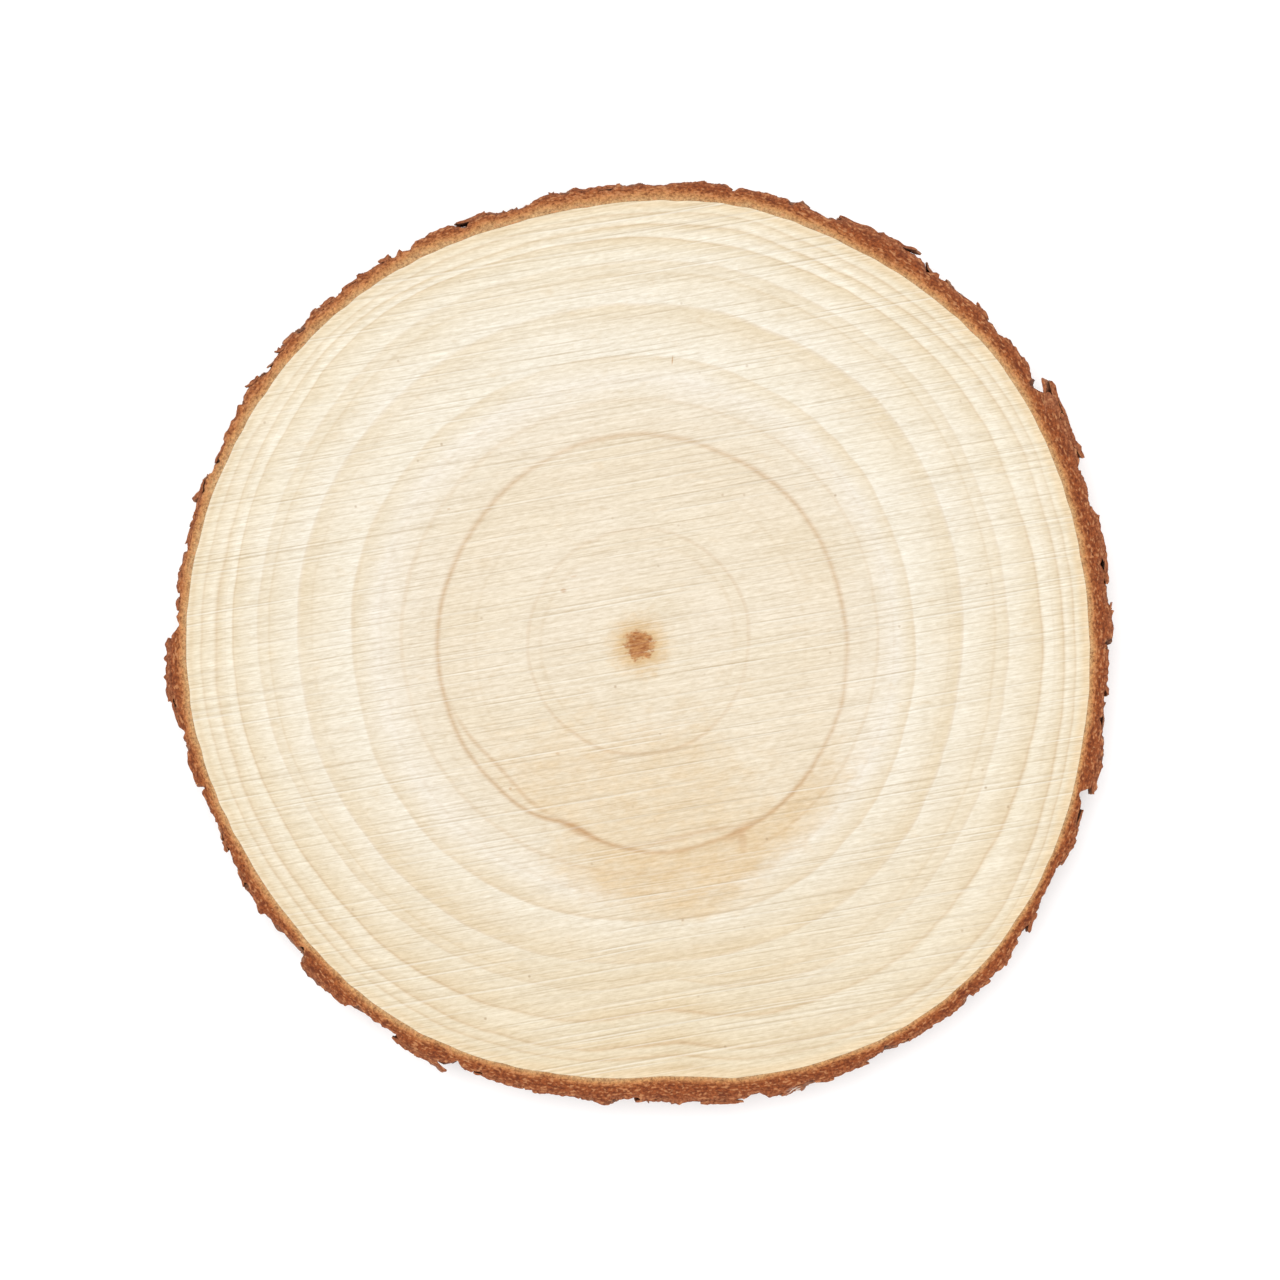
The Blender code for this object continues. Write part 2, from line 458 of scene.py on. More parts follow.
def flake_backing(bearing, height):
    """1 where a loose flake at the upper face lies on the bark, 0 elsewhere."""
    backing = 0.0 * height
    for first, last, *_ in LOOSE_FLAKES[SPUR_FLAKES:]:
        half_width = 0.5 * (last - first)
        off_middle = np.abs(bearing_gap(bearing, 0.5 * (first + last)))
        backing = np.maximum(backing, ease(half_width, half_width - 0.6, off_middle))
    return backing * ease(4.0, 6.0, height)


def bark_relief(bearing, height):
    """Relief of the bark's outside in mm, and what its colours need, by name."""
    scales, shade, edge = lay_scales(bearing, height)
    around = bearing[:, None] + 0.0 * height
    clefts = 0.0 * height
    for middle, depth, half_width, spread in CLEFTS:
        sway = 0.25 * noise(height / 3.0, 0.0 * height + middle, 41)
        below = spread * (1 - height / THICKNESS)
        clefts = clefts + depth * bump(around + sway, middle + below, half_width + below)
    swells = sum(rise * bump(around, *place) for rise, *place in RIM_SWELLS)
    fibres = rim_noise(around, height, 640, 2.5, 91)
    fine_fibres = rim_noise(around, height, 1100, 1.2, 92)
    grain = rim_noise(around, height, 900, 0.35, 93)
    crumbs = rim_noise(around, height, 330, 0.8, 94) + rim_noise(around, height, 610, 0.5, 95)
    relief = scales + swells - clefts + 0.05 * fibres + 0.04 * fine_fibres + 0.03 * grain
    relief += 0.10 * crumbs
    relief = np.maximum(relief, relief * (1 - flake_backing(around, height)) - 0.2)
    # painted_gap_shade: painted shade, strongest where a point lies deep in a gap between scales
    looks = {"painted_gap_shade": hollows(relief), "tint": shade, "edge": edge}
    return relief - 0.05, looks


def build_bark(rim, low, high):
    """The ring of bark as one closed piece, round the wood."""
    bearing = RIM_STEP * np.arange(RIM_COUNT)
    level = 0.0 * bearing
    inside = wood_edge(bearing) + JOINT_GAP
    top_chips = CHIPS + CHIPS * rim_noise(bearing, level, 420, 1.0, 101)
    under_chips = CHIPS + CHIPS * rim_noise(bearing, level, 420, 1.0, 102)

    turn = math.pi * (0.1 + 0.8 * np.arange(WALL_STEPS + 1) / WALL_STEPS)
    share = 0.5 - 0.5 * np.cos(turn) / np.cos(0.1 * math.pi)
    top_rim, under_rim = high - top_chips, low + under_chips
    height = top_rim[:, None] + (under_rim - top_rim)[:, None] * share
    relief, looks = bark_relief(bearing, height)
    around = bearing[:, None] + 0.0 * height
    radius = rim.radius(around, height) + relief

    def sawn(outer, steps, face_height, side, chips, seed):
        """Radii and heights across one sawn face of the bark, from the wood out."""
        share = np.arange(steps)[None] / steps
        radii = inside[:, None] + (outer - inside)[:, None] * share
        turns = bearing[:, None] + 0.0 * radii
        rough = rim_noise(turns, radii, 1300, 0.22, seed)
        layers = rim_noise(turns, radii, 160, 0.16, seed + 1)
        sunk = SAW_SINK + (0.03 * rough + 0.05 * layers) * share + chips[:, None] * share**6
        return radii, face_height - side * np.maximum(sunk, LEAST_SINK)

    top = sawn(radius[:, 0], CUT_STEPS, high, 1, top_chips, 111)
    under = sawn(radius[:, -1], UNDER_STEPS, low, -1, under_chips, 121)
    radii = np.concatenate([top[0], radius, under[0][:, ::-1]], 1)
    heights = np.concatenate([top[1], height, under[1][:, ::-1]], 1)
    points = ring_points(rim.pith, bearing[:, None] + 0.0 * radii, radii, heights)

    rings = radii.shape[1]
    index = np.arange(RIM_COUNT * rings).reshape(RIM_COUNT, rings)
    after = np.roll(index, -1, 0)
    below = np.roll(index, -1, 1)
    faces = np.stack([index, below, np.roll(after, -1, 1), after], -1).reshape(-1, 4)

    on_wall = ((0, 0), (CUT_STEPS, UNDER_STEPS))
    attributes = {name: np.pad(values, on_wall) for name, values in looks.items()}
    attributes["out_mm"] = radii - inside[:, None]
    # Layers of bark in each mm, more of them on the older sides
    aging = 1.17 + 0.33 * np.cos(np.radians(bearing - 305))
    aging += sum(more * bump(bearing, *place) for more, *place in OLD_SIDES)
    attributes["layer"] = attributes["out_mm"] * aging[:, None]
    attributes["edge"][:, :CUT_STEPS] = (np.arange(CUT_STEPS) / CUT_STEPS) ** 9
    attributes["on_cut"] = np.pad(0.0 * height, on_wall, constant_values=1.0)
    attributes["on_cut"][:, CUT_STEPS] = 1.0
    corner_uv = bark_uv(rings)
    return make_piece("bark", points.reshape(-1, 3), faces.tolist(), attributes, corner_uv)


def bark_uv(rings):
    """Texture places of the bark: four strips with thin margins, each a quarter of the way."""
    column = np.arange(RIM_COUNT)[:, None]
    ring = np.arange(rings)[None]
    quarter = RIM_COUNT // 4
    strip = column // quarter
    along = (column % quarter) / quarter
    step = 0.98 / quarter
    left = 0.01 + 0.98 * along + 0.0 * ring
    low = (strip + 0.02 + 0.96 * ring / rings) / 4
    high = (strip + 0.02 + 0.96 * (ring + 1) / rings) / 4
    corners = [(left, low), (left, high), (left + step, high), (left + step, low)]
    return np.stack([np.stack(corner, -1) for corner in corners], 2)


# ------ loose flakes


def flake_points(rim, flake, chance):
    """A thin curled flake as two grids of points, inner and outer, and its looks."""
    first, last, low, high, sawn, thickness, lifts = flake
    seed = int(chance.integers(1 << 16))
    u = np.linspace(0.0, 1.0, FLAKE_GRID[0])[:, None] + np.zeros(FLAKE_GRID)
    v = np.linspace(0.0, 1.0, FLAKE_GRID[1])[None] + np.zeros(FLAKE_GRID)
    lower_cut, upper_cut = chance.uniform(0.1, 0.6, 2)
    waist = 1.0 - lower_cut * (1 - v) ** 3 - upper_cut * (1 - sawn) * v**3
    slant, splay = (share * (1 - v) for share in chance.uniform(-0.3, 0.3, 2))
    width = last - first
    jag = 0.10 * wave(3.1 * v, seed) + 0.05 * wave(7.3 * v, seed)
    far_jag = 0.10 * wave(3.1 * v, seed + 1)
    start = first + width * (0.5 - 0.5 * waist + slant + jag)
    end = last + width * (0.5 * waist - 0.5 + splay + far_jag)
    bearing = start + (end - start) * u
    ragged = 0.10 * (high - low)
    bottom = low + ragged * (1 + wave(3.7 * u, seed + 2))
    top = high - (1 - sawn) * ragged * (1 + wave(3.7 * u, seed + 3))
    height = bottom + (top - bottom) * v

    first_lift, last_lift, low_lift, high_lift, curl = lifts
    stand = first_lift * (1 - u) ** curl + last_lift * u**curl
    stand += low_lift * (1 - v) ** 3 + high_lift * v**3
    fibres = 0.06 * noise(bearing / 0.45, height / 3.0, seed + 4)
    bridge = rim.radius(start, height) * (1 - u) + rim.radius(end, height) * u
    inner = bridge - FLAKE_SEAT + stand + fibres
    off_u, off_v = np.abs(2 * u - 1), np.abs(2 * v - 1)
    border = np.maximum(off_u, off_v * np.where(v > 0.5, 1 - sawn, 1))
    crumbly = 0.72 + 0.28 * noise(bearing / 0.55, height / 0.9, seed + 5)
    outer = inner + thickness * crumbly * (1 - 0.50 * border**5)
    shells = [ring_points(rim.pith, bearing, radius, height) for radius in (inner, outer)]
    on_cut = sawn * (v == 1.0)
    edge = np.maximum(off_u, off_v) ** 6 * (1 - 0.7 * on_cut)
    return np.stack(shells), edge, 0.85 * on_cut


def flake_faces():
    """Faces of one closed flake: its inner grid, its outer grid and the border between."""
    columns, rows = FLAKE_GRID
    inner = np.arange(columns * rows).reshape(columns, rows)
    outer = inner + columns * rows
    faces = []
    for grid, flipped in ((outer, False), (inner, True)):
        quads = [grid[:-1, :-1], grid[1:, :-1], grid[1:, 1:], grid[:-1, 1:]]
        quads = quads[::-1] if flipped else quads
        faces.append(np.stack(quads, -1).reshape(-1, 4))
    border = [(k, 0) for k in range(columns)] + [(columns - 1, k) for k in range(1, rows)]
    border += [(k, rows - 1) for k in range(columns - 2, -1, -1)]
    border += [(0, k) for k in range(rows - 2, 0, -1)]
    for here, there in zip(border, border[1:] + border[:1]):
        faces.append(np.array([[inner[here], inner[there], outer[there], outer[here]]]))
    return np.concatenate(faces)


def choose_flakes(low, high, chance):
    """Every loose flake: bearings, heights, sawn off at the top or not, thickness, lifts."""
    draw = chance.uniform
    flakes = []
    for number, (first, last, thickness, first_lift, last_lift) in enumerate(LOOSE_FLAKES):
        bottom = low + (high - low) * draw(0.35, 0.8)
        curl = 1 if number < SPUR_FLAKES else 4
        lifts = (first_lift, last_lift, draw(0.0, 0.3), 0.0, curl)
        top = high - draw(0.01, 0.08)
        flakes.append((first, last, bottom, top, 1.0, thickness, lifts))
    for _ in range(SMALL_FLAKES):
        middle = draw(0.0, 360.0)
        half_width = draw(0.6, 2.4) / MM_PER_DEGREE
        length = draw(1.5, 5.0)
        bottom = draw(low + 0.2, high - 0.2 - 0.5 * length)
        top = bottom + length
        sawn = float(top > high - 0.04)
        lifts = (*(draw(0.0, 1.0, 4) ** 3 * (0.5, 0.5, 0.6, 0.2)), 4)
        thickness = draw(0.30, 0.52)
        top = min(top, high - draw(0.04, 0.10))
        bearings = (middle - half_width, middle + half_width)
        if abs(bearing_gap(middle, NOTCH)) > NOTCH_REACH:
            flakes.append((*bearings, bottom, top, sawn, thickness, lifts))
    return flakes


def build_flakes(rim, low, high):
    """The loose flakes, each a closed thin shell, as one piece."""
    chance = np.random.default_rng(71)
    per_shell = FLAKE_GRID[0] * FLAKE_GRID[1]
    one = flake_faces()
    points, faces, looks = [], [], []
    for number, flake in enumerate(choose_flakes(low, high, chance)):
        shells, edge, cut = flake_points(rim, flake, chance)
        points.append(shells.reshape(-1, 3))
        faces.append(one + number * 2 * per_shell)
        shade = chance.uniform(-1.0, 1.0) + 1.2 * bump(flake[0], 8, 12)
        edge = np.tile(edge.ravel(), 2)
        look = {"edge": edge, "tint": np.full(2 * per_shell, min(shade, 1.0))}
        # The inner face, which faces the bark, gets painted shade
        look["painted_gap_shade"] = np.repeat([0.3, 0.0], per_shell) * (1 - edge)
        look["out_mm"] = np.repeat(FLAKE_OUT, per_shell)
        look["layer"] = np.full(2 * per_shell, FLAKE_LAYER)
        look["on_cut"] = np.tile(cut.ravel(), 2)
        looks.append(look)
    attributes = {name: np.concatenate([look[name] for look in looks]) for name in looks[0]}
    faces = np.concatenate(faces).tolist()
    return make_piece("bark_flakes", np.concatenate(points), faces, attributes)


# ------ materials


class Shader:
    """Short calls that build one material's node tree. Lengths in it are in mm."""

    def __init__(self, name, pith=(0.0, 0.0)):
        self.material = bpy.data.materials.new(name)
        self.material.use_nodes = True
        self.tree = self.material.node_tree
        coordinates = self.tree.nodes.new("ShaderNodeTexCoord").outputs["Object"]
        in_mm = self.vector("SCALE", coordinates, scale=1 / MM)
        self.place = self.vector("SUBTRACT", in_mm, (*map(float, pith), 0.0))
        self.flat = self.vector("MULTIPLY", self.place, (1, 1, 0))

    def node(self, kind, inputs, **settings):
        """A new node of a kind, with its inputs linked or set."""
        made = self.tree.nodes.new("ShaderNode" + kind)
        for key, value in settings.items():
            setattr(made, key, value)
        for key, value in inputs.items():
            self.put(made.inputs[key], value)
        return made

    def put(self, socket, value):
        if isinstance(value, bpy.types.NodeSocket):
            self.tree.links.new(value, socket)
        else:
            socket.default_value = value

    def vector(self, operation, a, b=(0, 0, 0), scale=1.0):
        made = self.node("VectorMath", {0: a, 1: b, 3: scale}, operation=operation)
        return made.outputs["Value" if operation == "LENGTH" else "Vector"]

    def math(self, operation, a, b=0.0, c=0.0):
        return self.node("Math", {0: a, 1: b, 2: c}, operation=operation).outputs[0]

    def add(self, a, b):
        return self.math("ADD", a, b)

    def minus(self, a, b):
        return self.math("SUBTRACT", a, b)

    def product(self, *values):
        total = values[0]
        for value in values[1:]:
            total = self.math("MULTIPLY", total, value)
        return total

    def attribute(self, name):
        return self.node("Attribute", {}, attribute_name=name).outputs["Fac"]

    def stretched(self, size, turn=0.0, shift=0.0):
        """The place in units of size along X, Y and Z, after a turn about Z."""
        scale = tuple(1 / length for length in size)
        location = (shift, 0.37 * shift, 0.71 * shift)
        inputs = {"Vector": self.turned(self.place, turn), "Scale": scale, "Location": location}
        return self.node("Mapping", inputs).outputs[0]

    def turned(self, place, turn):
        """The place after a turn about Z, in degrees."""
        inputs = {"Vector": place, "Rotation": (0, 0, -math.radians(turn))}
        return self.node("Mapping", inputs).outputs[0]

    def round_the_rim(self, along, outward, out_mm):
        """A place whose units are along mm round the bark and outward mm from the wood."""
        around = self.vector("NORMALIZE", self.flat)
        around = self.vector("SCALE", around, scale=WOOD_RADIUS / along)
        depth = self.math("DIVIDE", out_mm, outward)
        lift = self.node("CombineXYZ", {2: depth}).outputs[0]
        return self.vector("ADD", around, lift)

    def noise(self, place, detail=2.0, roughness=0.5):
        inputs = {"Vector": place, "Scale": 1.0, "Detail": detail, "Roughness": roughness}
        return self.node("TexNoise", inputs).outputs["Fac"]

    def grain(self, size, turn=0.0, shift=0.0, detail=2.0, roughness=0.5):
        """Noise whose bumps have one size along X, Y and Z, after a turn about Z."""
        return self.noise(self.stretched(size, turn, shift), detail, roughness)

    def scratches(self, pitch, length, width, seed):
        """Straight scratches along the saw marks, one to a row, each a line of painted shade
        with a painted highlight along its lower edge.
        """
        sway = self.grain((30, 6, 9), SAW_TILT, seed, detail=1.0)
        rows = self.stretched((length, pitch, 1), SAW_TILT, seed)
        place = self.node("SeparateXYZ", {0: rows})
        row_place = self.add(place.outputs["Y"], self.product(sway, 0.8 / pitch))
        row = self.math("FLOOR", row_place)
        own = self.chance(row, seed)
        along = self.add(place.outputs["X"], self.product(own.outputs["Red"], 9.0))
        part = self.math("FLOOR", along)
        strength = self.chance(self.math("MULTIPLY_ADD", part, 57.0, row), seed + 1)
        off_middle = self.math("ABSOLUTE", self.minus(self.math("FRACT", along), 0.5))
        fade = self.range(off_middle, 0.25, 0.5, 1.0, 0.0)
        fade = self.product(fade, self.range(strength.outputs["Red"], 0.35, 1.0))
        off_row = self.minus(self.math("FRACT", row_place), 0.5)
        off_row = self.add(off_row, self.range(own.outputs["Green"], 0.0, 1.0, -0.25, 0.25))
        off_row = self.product(off_row, pitch)
        near = self.math("ABSOLUTE", off_row)
        # Painted shade along the scratch, and a painted highlight just below it
        scratch_shade = self.product(self.range(near, 0.0, width, 1.0, 0.0), fade)
        below = self.math("ABSOLUTE", self.add(off_row, 1.5 * width))
        scratch_highlight = self.range(below, 0.0, width, 1.0, 0.0)
        fade = self.product(fade, self.range(strength.outputs["Green"], 0.2, 0.9))
        return scratch_shade, self.product(scratch_highlight, fade)

    def chance(self, value, seed):
        """Repeatable random colour channels from 0 to 1 for each whole number."""
        place = self.node("CombineXYZ", {0: value, 1: float(seed)}).outputs[0]
        made = self.node("TexWhiteNoise", {"Vector": place}, noise_dimensions="2D")
        return self.node("SeparateColor", {0: made.outputs["Color"]})

    def range(self, value, low, high, to_low=0.0, to_high=1.0, smooth=False):
        """The value moved from low..high to to_low..to_high, and never past them."""
        inputs = {0: value, 1: low, 2: high, 3: to_low, 4: to_high}
        kind = "SMOOTHSTEP" if smooth else "LINEAR"
        return self.node("MapRange", inputs, interpolation_type=kind).outputs[0]

    def ramp(self, value, stops):
        """A colour or a grey level by value: stops are (place from 0 to 1, colour or level)."""
        made = self.node("ValToRGB", {"Fac": value})
        points = made.color_ramp.elements
        while len(points) < len(stops):
            points.new(0.5)
        for point, (place, level) in zip(points, stops):
            point.position = place
            point.color = (level, level, level, 1.0) if isinstance(level, float) else level
        return made.outputs["Color"]

    def mix(self, share, a, b, blend="MIX"):
        colours = {0: share, 6: a, 7: b}
        return self.node("Mix", colours, data_type="RGBA", blend_type=blend).outputs[2]

    def gain(self, tone, share, low, high):
        """The tone times a colour that runs from low to high as the share does from 0 to 1."""
        return self.mix(1.0, tone, self.mix(share, (*low, 1.0), (*high, 1.0)), "MULTIPLY")

    def finish(self, tone, roughness, specular, relief=None, strength=0.0, depth=0.0):
        """Set the surface. A relief is a bump map of a strength and a depth in mm."""
        results = {"Base Color": tone, "Roughness": roughness, "Specular IOR Level": specular}
        if relief:
            inputs = {"Height": relief, "Strength": strength, "Distance": depth * MM}
            results["Normal"] = self.node("Bump", inputs).outputs["Normal"]
        for name, value in results.items():
            self.put(self.tree.nodes["Principled BSDF"].inputs[name], value)
        return self.material

    def spot(self, x, y, length, width, turn):
        """A soft spot at a place in mm from the pith: 1 in its middle, 0 from its edge on."""
        off = self.vector("SUBTRACT", self.place, (x, y, 0.0))
        flat = self.vector("MULTIPLY", off, (1.0, 1.0, 0.0))
        sized = self.vector("DIVIDE", self.turned(flat, turn), (length, width, 1.0))
        return self.range(self.vector("LENGTH", sized), 0.3, 1.0, 1.0, 0.0, smooth=True)


STUDIO_LIGHT = 1.45  # how much brighter than its own colour the studio shows a sawn face


def colour(*shown):
    """A surface's own colour, if the studio shows it as this red, green and blue up to 255."""
    shares = (level / 255 for level in shown)
    linear = (s / 12.92 if s <= 0.04045 else ((s + 0.055) / 1.055) ** 2.4 for s in shares)
    return (*(level / STUDIO_LIGHT for level in linear), 1.0)


RAMP_SPAN = 50.0  # mm of radius that the ring ramps cover

# The wood's colour between its rings: mean radius, then red, green and blue as shown
WOOD_TONES = (
    (0.0, 240, 226, 201), (8.0, 241, 227, 204), (13.0, 241, 227, 203), (20.0, 240, 225, 200),
    (24.5, 241, 228, 206), (27.5, 245, 235, 218), (30.1, 247, 238, 220), (35.4, 247, 238, 220),
    (39.6, 247, 237, 217), (42.7, 249, 239, 218), (45.1, 248, 236, 213), (46.2, 247, 235, 210),
    (47.2, 245, 230, 202),
)
# How much tan late wood there is, by mean radius: it grows through a year and ends at its ring
LATE_WOOD = (
    (0.0, 0.0), (9.6, 0.0), (11.6, 0.2), (11.9, 0.0), (19.5, 0.0), (21.6, 0.22), (22.0, 0.0),
    (24.3, 0.0), (25.0, 0.22), (25.4, 0.05), (27.6, 0.0), (29.2, 0.46), (29.8, 0.58),
    (30.1, 0.0), (32.8, 0.3), (34.9, 0.74), (35.3, 0.0), (37.2, 0.3), (38.0, 0.56), (38.4, 0.38),
    (39.1, 0.55), (39.4, 0.0), (40.6, 0.24), (42.3, 0.88), (42.7, 0.0), (43.5, 0.12),
    (44.4, 0.92), (44.9, 0.0), (45.6, 0.72), (46.0, 0.1), (46.8, 0.8), (47.1, 0.2),
)
# The thin dark line that ends a year: ring radius, width, strength
RING_LINES = (
    (11.8, 0.5, 0.42), (21.7, 0.85, 0.72), (25.1, 0.4, 0.34), (27.2, 0.4, 0.14),
    (29.8, 0.35, 0.32), (35.1, 0.32, 0.36), (39.2, 0.3, 0.34), (42.4, 0.3, 0.48),
    (44.5, 0.3, 0.55), (45.7, 0.25, 0.4),
)
# Fainter lines inside a year
FAINT_LINES = (
    (5.6, 0.8, 0.4), (10.4, 0.7, 0.8), (17.6, 0.6, 0.5), (18.6, 0.6, 0.3), (23.2, 0.6, 0.3),
    (33.8, 0.4, 0.5), (38.1, 0.35, 0.9), (43.6, 0.3, 0.8), (46.75, 0.5, 1.0),
)


def tone_stops(tones, span):
    """Ramp stops from rows of a place from 0 to span and the colour shown there."""
    return [(place / span, colour(*shown)) for place, *shown in tones]


def line_stops(lines):
    """Ramp stops that peak at each line and are 0 between them."""
    stops = [(0.0, 0.0)]
    for radius, width, strength in lines:
        stops.append(((radius - width / 2) / RAMP_SPAN, 0.0))
        stops.append((radius / RAMP_SPAN, strength))
        stops.append(((radius + width / 2) / RAMP_SPAN, 0.0))
    return stops


# Brown marks on the wood: X and Y from the pith, length, width, turn, strength
WOOD_MARKS = (
    (-8.0, 5.8, 0.45, 0.3, 10, 0.9), (-6.9, 7.3, 0.5, 0.15, 10, 0.5),
    (3.5, 30.1, 0.65, 0.1, 85, 1.1), (-6.2, -19.6, 2.8, 0.8, -27, 0.55),
    (10.6, -19.6, 2.6, 0.8, 35, 0.45), (10.9, -20.6, 0.7, 1.6, 5, 0.4),
    (-13.6, -15.1, 0.25, 0.2, 0, 0.8), (-8.6, -11.4, 0.3, 0.25, 0, 0.5),
    (-20.1, 14.4, 0.25, 0.15, 9, 0.6),
)


# Scratches of the saw, drawn as lines of painted shade with painted highlights beside them: mean
# distance apart, length, half width, and a seed
SCRATCHES = (
    (0.55, 11.0, 0.09, 3), (0.7, 24.0, 0.1, 17), (1.3, 45.0, 0.12, 29),
)


def wood_material(pith):
    """Sawn end grain."""
    mat = Shader("end_grain", pith)
    from_pith = mat.vector("LENGTH", mat.flat)
    warm_side = mat.attribute("warm_side")

    wobble = mat.grain((6, 6, 40))
    ring_place = mat.add(from_pith, mat.attribute("ring_shift"))
    ring_place = mat.add(ring_place, mat.range(wobble, 0.25, 0.75, -0.14, 0.14))
    ring_share = mat.math("DIVIDE", ring_place, RAMP_SPAN)

    # Broad colour: browner inner years, a warm side towards -Y, and cloudy patches
    tone = mat.ramp(ring_share, tone_stops(WOOD_TONES, RAMP_SPAN))
    outer = mat.range(ring_place, 25.5, 38.0, 0.15, 0.68, smooth=True)
    tone = mat.mix(mat.product(warm_side, outer), tone, colour(234, 216, 183))
    broad = mat.grain((9, 5, 30), SAW_TILT, 3.0, detail=3.0)
    cloudy = mat.range(broad, 0.3, 0.7)
    tone = mat.gain(tone, cloudy, (1.012, 1.016, 1.03), (0.985, 0.975, 0.95))

    # Late wood, deeper in colour on the warm side
    fade = mat.grain((14, 14, 60), 0.0, 9.0, detail=1.0)
    uneven = mat.range(fade, 0.3, 0.7, 0.6, 1.2)
    late_wood = [(radius / RAMP_SPAN, level) for radius, level in LATE_WOOD]
    late = mat.product(mat.ramp(ring_share, late_wood), uneven)
    late_tone = mat.mix(warm_side, colour(234, 215, 182), colour(229, 205, 166))
    tone = mat.mix(late, tone, late_tone)

    # Stain below the pith
    blotch = mat.grain((2.2, 1.3, 8), SAW_TILT, 5.0, 5.0, 0.65)
    uneven_stain = mat.range(blotch, 0.25, 0.75, -0.42, 0.42)
    stain = mat.add(mat.attribute("stain"), uneven_stain)
    stain = mat.product(mat.range(stain, 0.12, 1.15), 0.9)
    tone = mat.mix(stain, tone, colour(230, 201, 158))

    # The lines that end the years, one of them doubled below the pith
    depth = mat.range(warm_side, 0.0, 1.0, 0.68, 1.12)
    line = mat.product(mat.ramp(ring_share, line_stops(RING_LINES)), uneven, depth)
    tone = mat.mix(line, tone, colour(203, 164, 120))
    faint = mat.product(mat.ramp(ring_share, line_stops(FAINT_LINES)), uneven, 0.26)
    tone = mat.mix(faint, tone, colour(212, 184, 144))
    twin_gap = mat.attribute("twin_gap")
    off_twin = mat.minus(mat.add(ring_place, twin_gap), RINGS[DOUBLED][0])
    twin = mat.range(mat.math("ABSOLUTE", off_twin), 0.0, 0.45, 1.0, 0.0, smooth=True)
    twin = mat.product(twin, mat.range(twin_gap, 0.1, 1.0, 0.0, 0.38))
    tone = mat.mix(twin, tone, colour(203, 162, 116))

    # Brown marks and fine specks
    for *spot, strength in WOOD_MARKS:
        mark = mat.product(mat.spot(*spot), strength, 0.6)
        tone = mat.mix(mark, tone, colour(192, 138, 82))
    cells = {"Vector": mat.stretched((2.3, 2.3, 6)), "Scale": 1.0}
    specks = mat.node("TexVoronoi", cells)
    chosen = mat.node("SeparateColor", {0: specks.outputs["Color"]}).outputs[0]
    speck = mat.range(specks.outputs["Distance"], 0.03, 0.09, 1.0, 0.0)
    speck = mat.product(speck, mat.range(chosen, 0.55, 0.9, 0.0, 0.6))
    tone = mat.mix(speck, tone, colour(176, 146, 112))

    # Pale yellow wood just under the bark
    fringe = mat.range(mat.attribute("under_bark"), 0.1, 1.3, 0.9, 0.0, smooth=True)
    fringe = mat.product(fringe, mat.attribute("golden_side"))
    tone = mat.mix(fringe, tone, colour(244, 219, 180))

    # The pith and the halo round it
    ragged = mat.grain((0.9, 0.6, 3), SAW_TILT, 0.0, 4.0, 0.7)
    pith_edge = mat.add(from_pith, mat.range(ragged, 0.2, 0.8, -0.8, 0.8))
    halo = mat.range(pith_edge, 1.0, 4.4, 0.85, 0.0, smooth=True)
    core = mat.range(pith_edge, 1.0, 1.8, 1.0, 0.0, smooth=True)
    tone = mat.mix(halo, tone, colour(223, 183, 125))
    threads = mat.grain((0.8, 0.22, 3), SAW_TILT, 19.0, 3.0, 0.7)
    threads = mat.range(threads, 0.35, 0.65)
    core_tone = mat.mix(threads, colour(158, 92, 44), colour(208, 148, 90))
    tone = mat.mix(core, tone, core_tone)

    # Saw marks: soft streaks over a fine grain, partly the wood's own tone and partly painted
    # light and shade of the sawn relief, and crisp scratches of painted shade, each with a
    # painted highlight along its edge
    marks = mat.grain((26, 0.33, 5), SAW_TILT, 0.0, 0.0)
    hairs = mat.grain((6, 0.15, 5), SAW_TILT + 0.4, 7.0, 1.0, 0.6)
    fine = mat.grain((0.9, 0.22, 2), SAW_TILT, 11.0, 2.0, 0.65)
    sawn = mat.product(mat.minus(marks, 0.5), 0.25)
    for layer, weight in ((hairs, 0.8), (fine, 1.1)):
        sawn = mat.add(sawn, mat.product(mat.minus(layer, 0.5), weight))
    # The streaks lighten and darken the tone: the grain's own tone and painted light and shade
    # of the saw marks
    streak_tone_and_painted_light = mat.range(sawn, -0.4, 0.4)
    tone = mat.gain(tone, streak_tone_and_painted_light, (0.84, 0.81, 0.76), (1.14, 1.17, 1.22))
    bare = mat.range(core, 0.0, 1.0, 1.0, 0.15)
    for scratch in SCRATCHES:
        scratch_shade, scratch_highlight = mat.scratches(*scratch)
        # Each scratch: a line of painted shade, then a painted highlight beside it
        tone = mat.mix(mat.product(scratch_shade, bare, 0.46), tone, colour(188, 164, 128))
        tone = mat.mix(mat.product(scratch_highlight, bare, 0.62), tone, colour(254, 249, 236))

    roughness = mat.range(sawn, -0.3, 0.3, 0.82, 0.62)
    return mat.finish(tone, roughness, 0.25, sawn, strength=0.5, depth=0.05)


CUT_SPAN = 4.0  # layers of bark that the ramp covers
# Colours of the bark's sawn face: layer, from the wood out, then red, green and blue as shown
CUT_TONES = (
    (0.0, 199, 157, 111), (0.2, 196, 150, 102), (0.45, 197, 141, 89), (0.65, 194, 132, 80),
    (0.8, 187, 119, 71), (1.0, 165, 97, 52), (1.25, 154, 84, 43), (1.6, 149, 77, 38),
    (2.2, 148, 77, 39), (4.0, 150, 79, 42),
)
# Colours of the bark's outside by shade from 0 to 1, then red, green and blue as shown
WALL_TONES = ((0.0, 96, 55, 40), (0.35, 134, 80, 56), (0.65, 153, 98, 70), (1.0, 170, 126, 99))
RESIN = (16.3, -47.0, 1.1, 0.5, 19)  # X and Y from the pith, length, width, turn


